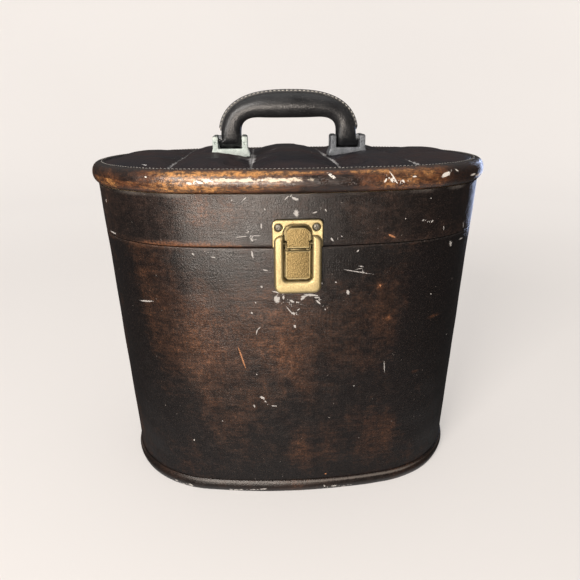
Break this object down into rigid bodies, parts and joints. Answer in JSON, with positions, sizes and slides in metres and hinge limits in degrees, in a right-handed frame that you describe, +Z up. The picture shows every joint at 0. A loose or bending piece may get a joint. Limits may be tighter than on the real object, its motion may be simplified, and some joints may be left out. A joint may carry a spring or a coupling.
{
  "type": "oval hard case",
  "caption": "Tall oval hard case with a hinged lid, rounded rim roll, quilted top, folding leather handle in brackets and a brass toggle latch.",
  "frame": {"origin": "middle of the flat base, on the surface that the case stands on", "axes": "+X along the case's long side, +Y towards the hinges with the latch at -Y, +Z up through the handle"},
  "size_m": [0.3004, 0.1998, 0.3004],
  "materials": {
    "cover": "worn satin leather cloth, black-brown with red-brown patches",
    "roll": "polished red-brown leather",
    "binding": "worn brown leather",
    "pad": "soft black leather cloth, quilted",
    "grip": "black grained leather",
    "board": "plain fibre board",
    "lining": "plain woven lining",
    "brass": "antique brass, fine pebble grain",
    "steel": "plain steel",
    "pale_metal": "pale grey-green worn metal",
    "dark_metal": "dark slate metal"
  },
  "bodies": {
    "case_body": {"base_cover": "cover", "floor_board": "board", "body_board": "board", "body_cover": "cover", "base_binding": "binding", "body_lining": "lining", "floor_pad": "lining", "collar": "lining", "latch_frame": "brass", "latch_rivets": "brass", "body_leaves": "brass", "hinge_pins": "steel", "body_leaf_rivets": "brass"},
    "lid": {"skirt_board": "board", "skirt_cover": "cover", "top_board": "board", "rim_roll": "roll", "stitched_edge": "roll", "lid_pad": "pad", "skirt_lining": "lining", "ceiling_pad": "lining", "bracket_left": "pale_metal", "bracket_right": "dark_metal", "handle_pins": "steel", "bracket_screws": "steel", "backing_plates": "steel", "bracket_nuts": "steel", "keeper_plate": "brass", "keeper_screws": "brass", "lid_leaves": "brass", "lid_leaf_rivets": "brass"},
    "handle": {"handle_grip": "grip", "handle_core": "steel", "handle_welt": "grip"},
    "lever": {"latch_lever": "brass", "hook_pin": "steel"},
    "hook": {"latch_hook": "brass"}
  },
  "joints": [
    {"name": "lid_hinge", "type": "hinge", "parent": "case_body", "child": "lid", "pos_m": [0, 0.097, 0.201], "axis": [-1, 0, 0], "range_deg": [0, 100]},
    {"name": "handle_fold", "type": "hinge", "parent": "lid", "child": "handle", "pos_m": [0, 0, 0.2638], "axis": [1, 0, 0], "range_deg": [-80, 80]},
    {"name": "lever_lift", "type": "hinge", "parent": "case_body", "child": "lever", "pos_m": [0, -0.0987, 0.20481], "axis": [-1, 0, 0], "range_deg": [0, 85]},
    {"name": "hook_swing", "type": "hinge", "parent": "lever", "child": "hook", "pos_m": [0, -0.09854, 0.20082], "axis": [1, 0, 0], "range_deg": [0, 85]}
  ],
  "couplings": [
    {"joint": "hook_swing", "follows": "lever_lift", "ratio": 1}
  ]
}
